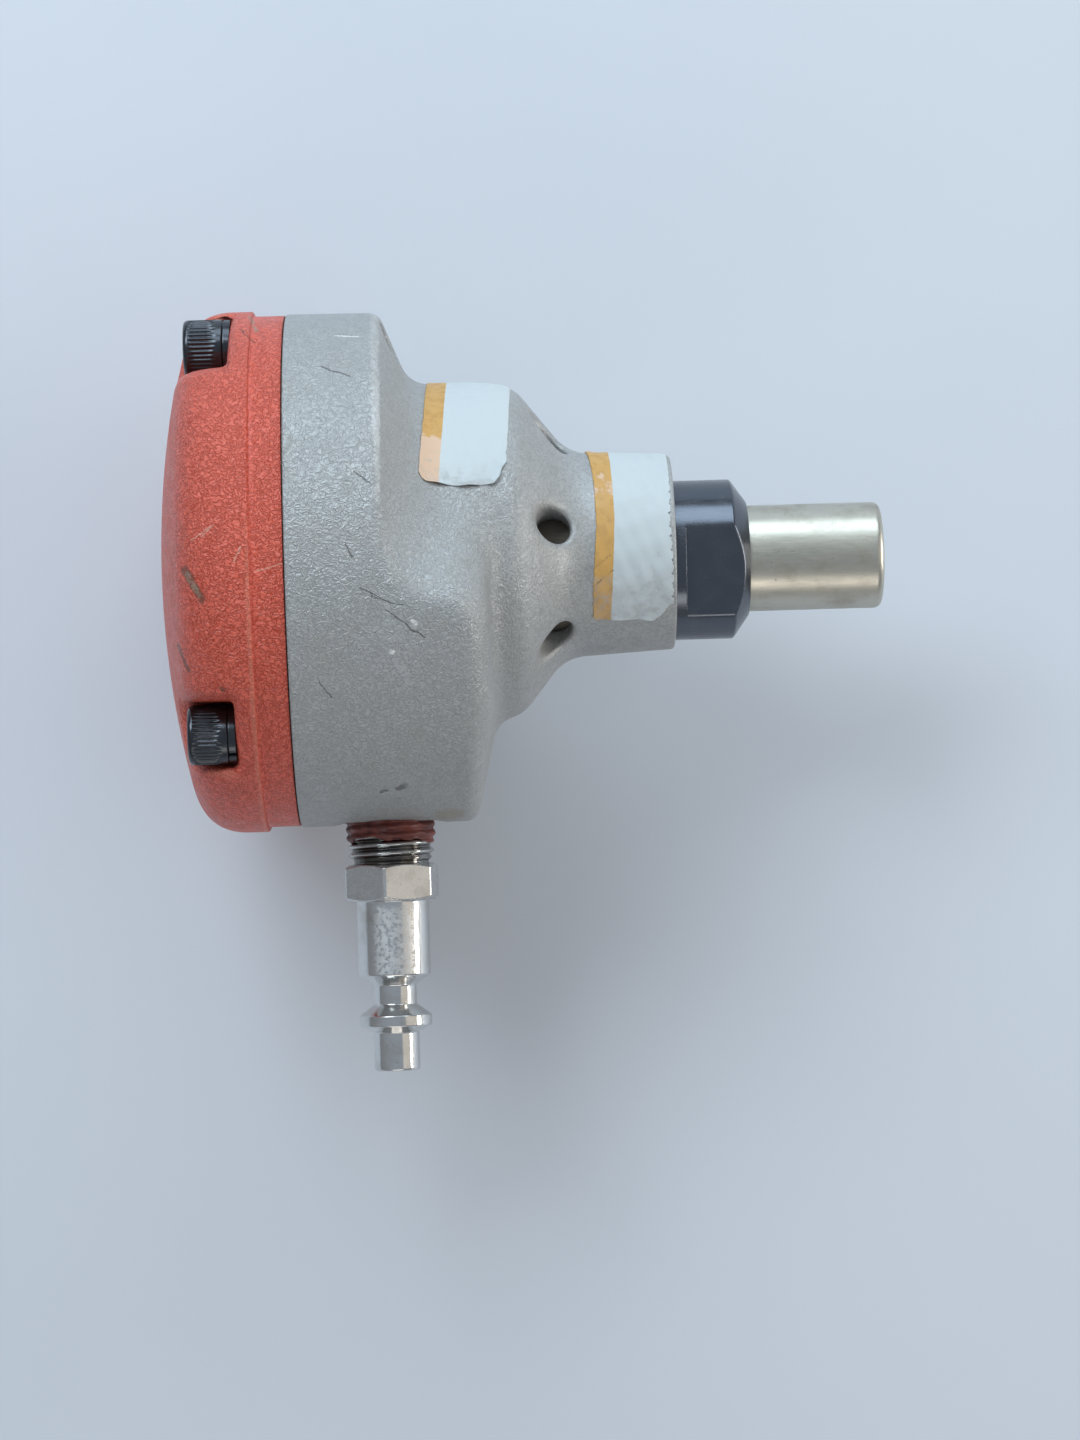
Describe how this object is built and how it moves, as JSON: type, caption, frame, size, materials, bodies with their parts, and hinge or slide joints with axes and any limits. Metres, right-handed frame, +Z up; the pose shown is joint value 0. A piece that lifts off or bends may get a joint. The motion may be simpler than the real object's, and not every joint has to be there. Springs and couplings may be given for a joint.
{
  "type": "palm nailer",
  "caption": "Air-driven palm nailer: round die-cast housing with a domed cap, a side air plug, a black retainer and a magnetic nose tube in which a piston hammer strikes the nail.",
  "frame": {"origin": "centre of the nose mouth, on the drive axis", "axes": "+X along the drive axis, the way a nail leaves the nose; -Y out along the air plug; +Z up as the tool lies on its side"},
  "size_m": [0.1181, 0.1254, 0.0856],
  "materials": {
    "housing_paint": "silver-grey textured paint on die-cast aluminium",
    "cap_paint": "orange-red textured paint on die-cast aluminium",
    "black_steel": "black oxide steel",
    "nickel_plate": "bright nickel plate on steel",
    "chrome_plate": "plated steel",
    "ground_steel": "ground steel",
    "machined_aluminium": "machined",
    "bronze": "turned bronze",
    "sintered_bronze": "porous sintered bronze",
    "seal_rubber": "black nitrile",
    "urethane": "amber urethane",
    "moulded_plastic": "natural nylon",
    "gasket_sheet": "dark fibre sheet",
    "sticker_film": "worn blank sticker",
    "thread_sealant": "dried thread sealant"
  },
  "bodies": {
    "tool_body": {"housing": "housing_paint", "cap": "cap_paint", "cap_gasket": "gasket_sheet", "cap_screws": "black_steel", "lock_washers": "black_steel", "cylinder": "ground_steel", "cylinder_seal": "seal_rubber", "bumper": "urethane", "valve_seat": "machined_aluminium", "valve_cage": "machined_aluminium", "cap_cushion": "urethane", "guide_bush": "bronze", "driver_seal": "seal_rubber", "exhaust_muffler": "sintered_bronze", "nose": "nickel_plate", "nose_magnet": "ground_steel", "nose_guide": "ground_steel", "nose_retainer": "black_steel", "retainer_o_ring": "seal_rubber", "air_plug": "chrome_plate", "inlet_screen": "ground_steel"},
    "hammer": {"piston": "ground_steel", "piston_rings": "moulded_plastic", "driver": "ground_steel", "driver_pin": "ground_steel"},
    "valve": {"valve_disc": "moulded_plastic"}
  },
  "joints": [
    {"name": "hammer_slide", "type": "slide", "parent": "tool_body", "child": "hammer", "axis": [1, 0, 0], "range_m": [-0.008, 0.0072]},
    {"name": "valve_slide", "type": "slide", "parent": "tool_body", "child": "valve", "axis": [-1, 0, 0], "range_m": [0, 0.001]}
  ]
}
